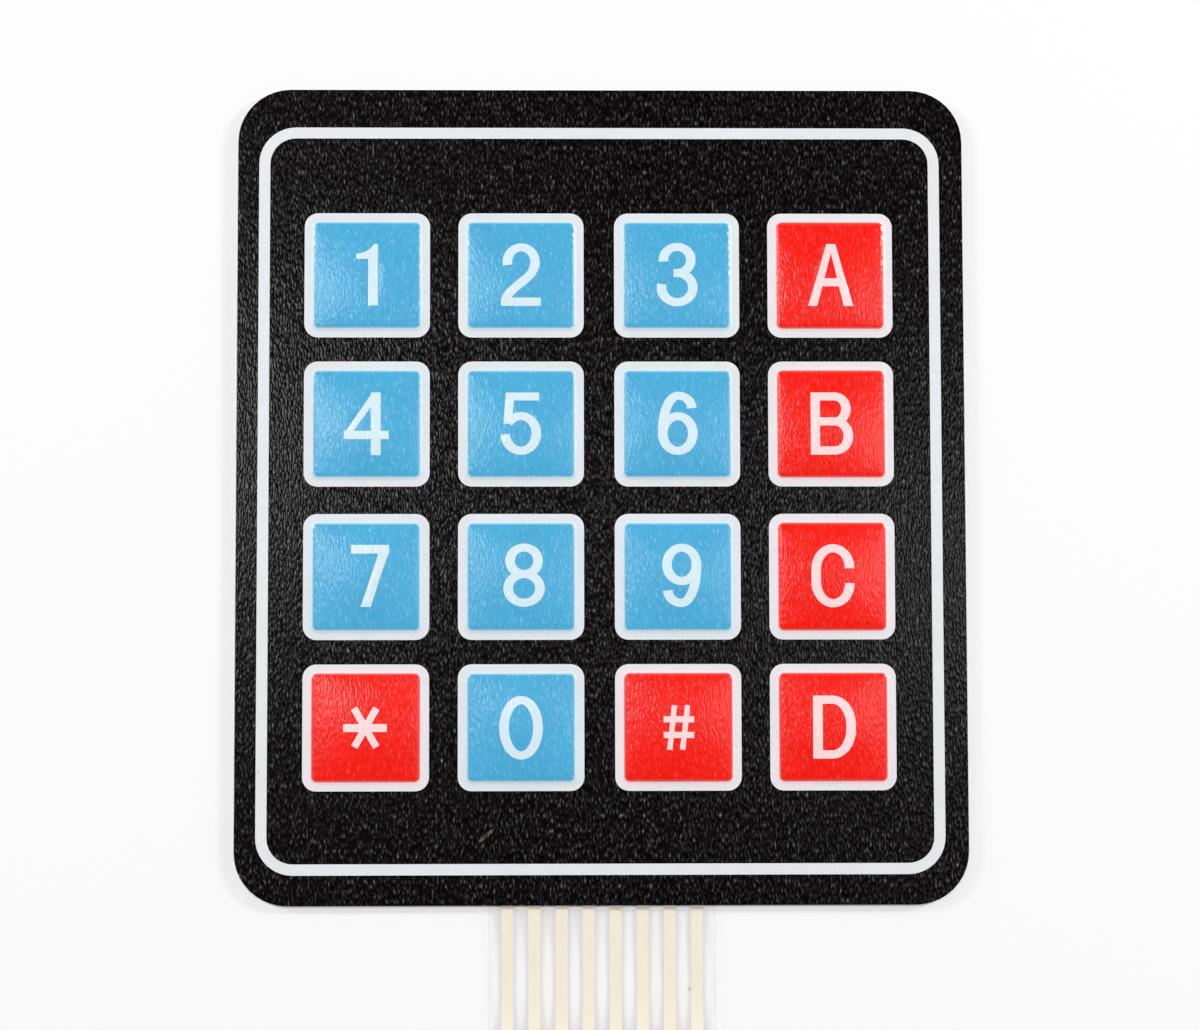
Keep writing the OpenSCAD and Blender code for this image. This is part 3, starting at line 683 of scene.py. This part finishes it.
# %% [markdown]
# ## Finishes of the sheets below
# The other pieces keep their shapes and get their finishes here. None of them is one even colour: screen-printed
# conductor ink is slightly cloudy, liner paper shows its fibres, moulded plastic is dulled by its mould, and tin on a
# contact is smeared. All of that is fine unevenness, only its grain and depth differ, so it is one group again. It
# mixes a noise of the given grain size with broader clouds, for the colour and the roughness, and puts out the fine
# noise as a height.

# %% Fine unevenness group
CLOUD_SCALE = 260.0
unevenness, given = shader_group("fine unevenness", {"Grain size": 0.3 * MM}, ["Shade", "Height"])
place = add(unevenness, "ShaderNodeTexCoord").outputs["Object"]
per_grain = maths(unevenness, "DIVIDE", 1.0, given["Grain size"])
sized = add(unevenness, "ShaderNodeVectorMath", {0: place, "Scale": per_grain}, operation="SCALE").outputs[0]
fine = noise(unevenness, sized, 1.0, 2.0)
clouds = noise(unevenness, place, CLOUD_SCALE, 2.0)
shade = maths(unevenness, "MULTIPLY", maths(unevenness, "ADD", fine, clouds), 0.5)
add(unevenness, "NodeGroupOutput", {"Shade": shade, "Height": fine})
print("fine unevenness:", len(unevenness.nodes), "nodes")

# %% [markdown]
# Each opaque finish is then one line: its colour, roughness, grain size, depth of the grain and evenness. The inks of
# the conductors look cream, because silver ink is seen through a yellowish coat of carbon and film.

# %% Opaque finishes
SHADE_USUAL = (0.32, 0.68)
DULLING = 0.08


def uneven_finish(name, colour, roughness, grain_size, relief, uneven, metallic=0.0):
    made, tree = new_material(name)
    surface = add(tree, "ShaderNodeGroup", {"Grain size": grain_size * MM}, node_tree=unevenness).outputs
    shade = spread(tree, surface["Shade"], SHADE_USUAL, 1 - uneven, 1 + uneven)
    dull = spread(tree, surface["Shade"], SHADE_USUAL, roughness - DULLING, roughness + DULLING)
    bump = add(tree, "ShaderNodeBump", {"Height": surface["Height"], "Strength": 1.0, "Distance": relief * MM})
    shader = add(tree, "ShaderNodeBsdfPrincipled", {
        "Base Color": blended(tree, 1.0, colour, shade, "MULTIPLY"), "Roughness": dull, "Metallic": metallic,
        "Normal": bump.outputs[0]})
    add(tree, "ShaderNodeOutputMaterial", {"Surface": shader.outputs[0]})
    return made


finishes = {
    "conductor_ink": uneven_finish("cream conductor ink", ink_colour(247, 239, 218), 0.6, 0.25, 0.004, 0.03),
    "adhesive": uneven_finish("tacky adhesive", ink_colour(236, 232, 214), 0.3, 0.5, 0.01, 0.04),
    "spacer_film": uneven_finish("spacer film", ink_colour(228, 232, 228), 0.5, 0.4, 0.004, 0.03),
    "liner_paper": uneven_finish("coated liner paper", ink_colour(240, 238, 230), 0.55, 0.35, 0.012, 0.04),
    "housing_plastic": uneven_finish("moulded housing plastic", ink_colour(28, 28, 29), 0.45, 0.16, 0.012, 0.12),
    "contact_metal": uneven_finish("tinned metal", ink_colour(205, 205, 200), 0.32, 0.4, 0.008, 0.08, 1.0),
}
print("opaque finishes:", ", ".join(finishes))

# %% [markdown]
# The tail's film is clear. Glass would be one way, but a renderer loses the light that passes through two thin sheets
# of it, and the conductors between them would turn dark. So the film is see-through by its Alpha: a warm tint of
# colour over the whole, a little more where the haze is, and in the smudge. Along the cut edges a thin rim is much
# denser and tinted: a painted edge line that stands for the light that the cut edge bends.

# %% Clear film
EDGE_STARTS, EDGE_ENDS = 10.5 * MM, 10.62 * MM
CLEAR, HAZY, EDGE_LINE_ALPHA, SMUDGED = 0.006, 0.01, 0.16, 0.12
HAZE_SIZE = 0.6 * MM
SHINY, DULL = 0.1, 0.2
clear, tree = new_material("clear film")
place = add(tree, "ShaderNodeTexCoord").outputs["Object"]
across = maths(tree, "ABSOLUTE", add(tree, "ShaderNodeSeparateXYZ", {0: place}).outputs["X"])
# Painted edge line: a thin rim along the cut edges, denser and tinted, for the light that the cut edge bends.
painted_edge_line = add(tree, "ShaderNodeMapRange", {"Value": across, "From Min": EDGE_STARTS, "From Max": EDGE_ENDS,
                                           "To Min": 0.0, "To Max": EDGE_LINE_ALPHA}).outputs[0]
haze = add(tree, "ShaderNodeGroup", {"Grain size": HAZE_SIZE}, node_tree=unevenness).outputs["Shade"]
smudge = add(tree, "ShaderNodeGroup", SMUDGE, node_tree=mark).outputs["Mask"]
see_through = maths(tree, "ADD", spread(tree, haze, SHADE_USUAL, CLEAR, HAZY), painted_edge_line)
see_through = maths(tree, "ADD", see_through, maths(tree, "MULTIPLY", smudge, SMUDGED))
edge_line_share = maths(tree, "DIVIDE", painted_edge_line, EDGE_LINE_ALPHA)
painted_edge_line_tint = blended(tree, edge_line_share, ink_colour(225, 196, 186), ink_colour(226, 228, 231))
film_tint = blended(tree, smudge, painted_edge_line_tint, ink_colour(172, 150, 134))
shader = add(tree, "ShaderNodeBsdfPrincipled", {"Base Color": film_tint, "Alpha": see_through,
                                                "Roughness": spread(tree, haze, SHADE_USUAL, SHINY, DULL)})
add(tree, "ShaderNodeOutputMaterial", {"Surface": shader.outputs[0]})
finishes["clear_film"] = clear
print("clear film: alpha from", CLEAR, "to", HAZY, "and", EDGE_LINE_ALPHA, "at the edges")

# %% [markdown]
# The record names the finish of every piece of the construction model. Those that are not made anew get it here.

# %% Give the pieces their finishes
slots = {part["node"]: part["material_slot"] for part in frame["record"]["subparts"]}
for name, node in frame["nodes"].items():
    if slots[name] in finishes:
        node.data.materials.clear()
        node.data.materials.append(finishes[slots[name]])
print("finished:", sum(slots[name] in finishes for name in frame["nodes"]), "pieces")

# %% [markdown]
# ## The films and conductors, smooth along the tail
# The construction model bends the tail in short straight steps, and its conductors touch the films exactly. Faces in
# one place confuse a renderer, and steps show in a glossy film. So each of these sheets gets a copy that is welded,
# drawn in by a thousandth or two of a millimetre, and shaded smooth where it only bends a little. Drawing in is a rule
# that follows the surface, so one Geometry Nodes tree does it for all ten sheets.

# %% Geometry Nodes tree that eases a sheet
TAIL_FOLD = math.radians(30)
easing, given = sheet_tree("ease a thin sheet", ["Drawn in"])
welded = add(easing, "GeometryNodeMergeByDistance", {"Geometry": given["Sheet"], "Distance": WELD}).outputs[0]
outward = add(easing, "GeometryNodeInputNormal").outputs[0]
backward = maths(easing, "MULTIPLY", given["Drawn in"], -1.0)
inward = add(easing, "ShaderNodeVectorMath", {0: outward, "Scale": backward}, operation="SCALE").outputs[0]
slim = add(easing, "GeometryNodeSetPosition", {"Geometry": welded, "Offset": inward}).outputs[0]
end_tree(easing, slim, TAIL_FOLD, given["Finish"])
print("easing tree:", len(easing.nodes), "nodes")

# %% [markdown]
# The conductors are drawn in twice as far as the films around them, so that a thin gap is left on every side.

# %% Smooth copies of the films and conductors
DRAWN_IN = {"clear_film": 0.001 * MM, "conductor_ink": 0.002 * MM}
for name, node in frame["nodes"].items():
    if slots[name] not in DRAWN_IN:
        continue
    copy = put_in_scene(name, node.data.copy())
    shape_by(copy, easing, {"Drawn in": DRAWN_IN[slots[name]], "Finish": finishes[slots[name]]})
    eased = plain_copy(copy, "smooth_" + name)
    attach(eased, "root")
    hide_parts(name)
    print(eased.name, len(eased.data.polygons), "faces")

# %% [markdown]
# ## The table
# The keypad lies on a white table. A white floor lit to full white would need so much light that the keys would pale.
# So a little less than half of what the camera sees of the floor is its own even white. The rest is lit, and keeps the
# thin shadows of the pad and of the tail.

# %% Floor
FLOOR_HALF = 3.0
OWN_WHITE = 0.45
floor_mesh = bpy.data.meshes.new("floor")
floor_mesh.from_pydata([(x * FLOOR_HALF, y * FLOOR_HALF, 0.0) for x, y in ((-1, -1), (1, -1), (1, 1), (-1, 1))], [],
                       [(0, 1, 2, 3)])
floor = put_in_scene("floor", floor_mesh)
floor_paint, tree = new_material("white table")
paint = add(tree, "ShaderNodeBsdfPrincipled", {"Base Color": (0.96, 0.96, 0.955, 1.0), "Roughness": 0.9,
                                               "Specular IOR Level": 0.0})
white = add(tree, "ShaderNodeEmission", {"Color": (0.975, 0.975, 0.975, 1.0), "Strength": 1.0})
ray = add(tree, "ShaderNodeLightPath").outputs
mirrored = maths(tree, "MAXIMUM", ray["Is Glossy Ray"], ray["Is Transmission Ray"])
seen = maths(tree, "MAXIMUM", ray["Is Camera Ray"], mirrored)
table = add(tree, "ShaderNodeMixShader", {0: maths(tree, "MULTIPLY", seen, OWN_WHITE), 1: paint.outputs[0],
                                          2: white.outputs[0]})
add(tree, "ShaderNodeOutputMaterial", {"Surface": table.outputs[0]})
floor_mesh.materials.append(floor_paint)
print("floor at z = 0")

# %% [markdown]
# ## Lamps and sky
# Two lamps stand low to the left and right, a little to the far side. They give the thin double shadows of the tail's
# conductors. Two weaker ones stand higher, and are there for the sheen: the ridges of the grain throw their light to
# the camera, the left lamp's on the left side and the right lamp's on the right.

# %% Lamps
LAMP_W = 0.06
LAMP_DISTANCE = 0.6


def soft_lamp(name, height, lean, far_side, power):
    """An area lamp aimed at the keypad. It leans to the right from the upright, or to the left below zero."""
    light = bpy.data.lights.new(name, "AREA")
    light.shape, light.size, light.size_y, light.energy = "RECTANGLE", LAMP_W, height, power
    lean = math.radians(lean)
    aim = Vector((-math.sin(lean), -far_side, -math.cos(lean))).normalized()
    lamp = put_in_scene(name, light)
    lamp.location = -aim * LAMP_DISTANCE
    lamp.rotation_euler = aim.to_track_quat("-Z", "Y").to_euler()


soft_lamp("low left lamp", height=0.12, lean=-60, far_side=0.35, power=1.18)
soft_lamp("low right lamp", height=0.12, lean=60, far_side=0.35, power=1.65)
soft_lamp("high left lamp", height=0.34, lean=-26, far_side=0.17, power=0.6)
soft_lamp("high right lamp", height=0.34, lean=26, far_side=0.08, power=0.26)
print("lamps:", len(bpy.data.lights))

# %% [markdown]
# The sky is pale all round but nearly black overhead, because what is straight above a flat black film is what it
# mirrors. The height in the sky runs from 0 at the horizon to 1 overhead.

# %% Sky
DIMS_FROM, DIMS_TO = 0.72, 0.9
PALE, OVERHEAD = 0.68, 0.01
world = bpy.data.worlds.new("studio")
world.use_nodes = True
sky = world.node_tree
sky.nodes.clear()
height = add(sky, "ShaderNodeSeparateXYZ", {0: add(sky, "ShaderNodeTexCoord").outputs["Generated"]}).outputs["Z"]
bright = add(sky, "ShaderNodeMapRange", {"Value": height, "From Min": DIMS_FROM, "From Max": DIMS_TO, "To Min": PALE,
                                         "To Max": OVERHEAD}, interpolation_type="SMOOTHSTEP").outputs[0]
back = add(sky, "ShaderNodeBackground", {"Color": (0.97, 0.97, 1.0, 1.0), "Strength": bright})
add(sky, "ShaderNodeOutputWorld", {"Surface": back.outputs[0]})
bpy.context.scene.world = world
bpy.context.scene.view_settings.view_transform = "Standard"
print("sky:", PALE, "all round and", OVERHEAD, "overhead")

# %% [markdown]
# ## Camera
# The photograph was taken from almost straight above, with a long lens. The tilt, turn and distance below were found
# from the corners of the pad and the rows of keys, until all of them fell in place.

# %% Camera
TILT, YAW, ROLL = (math.radians(a) for a in (4.41, 1.10, -0.119))
VIEW_DISTANCE = 300 * MM
TARGET = Vector((-0.12, -1.94, 0.0)) * MM
SENSOR_W, FOCAL_LENGTH = 36.0, 94.9
NEAREST = 10 * MM
look = Vector((math.sin(YAW) * math.cos(TILT), math.sin(TILT), -math.cos(TILT) * math.cos(YAW))).normalized()
level = look.cross(Vector((0, 1, 0))).normalized()
upward = level.cross(look)
right = math.cos(ROLL) * level + math.sin(ROLL) * upward
up = math.cos(ROLL) * upward - math.sin(ROLL) * level
lens = bpy.data.cameras.new("camera")
lens.sensor_fit, lens.sensor_width, lens.lens, lens.clip_start = "HORIZONTAL", SENSOR_W, FOCAL_LENGTH, NEAREST
camera = put_in_scene("camera", lens)
turned = Matrix((right, up, -look)).transposed().to_4x4()
camera.matrix_world = Matrix.Translation(TARGET - VIEW_DISTANCE * look) @ turned
bpy.context.scene.camera = camera
print("camera at mm:", [round(v / MM, 1) for v in camera.location])
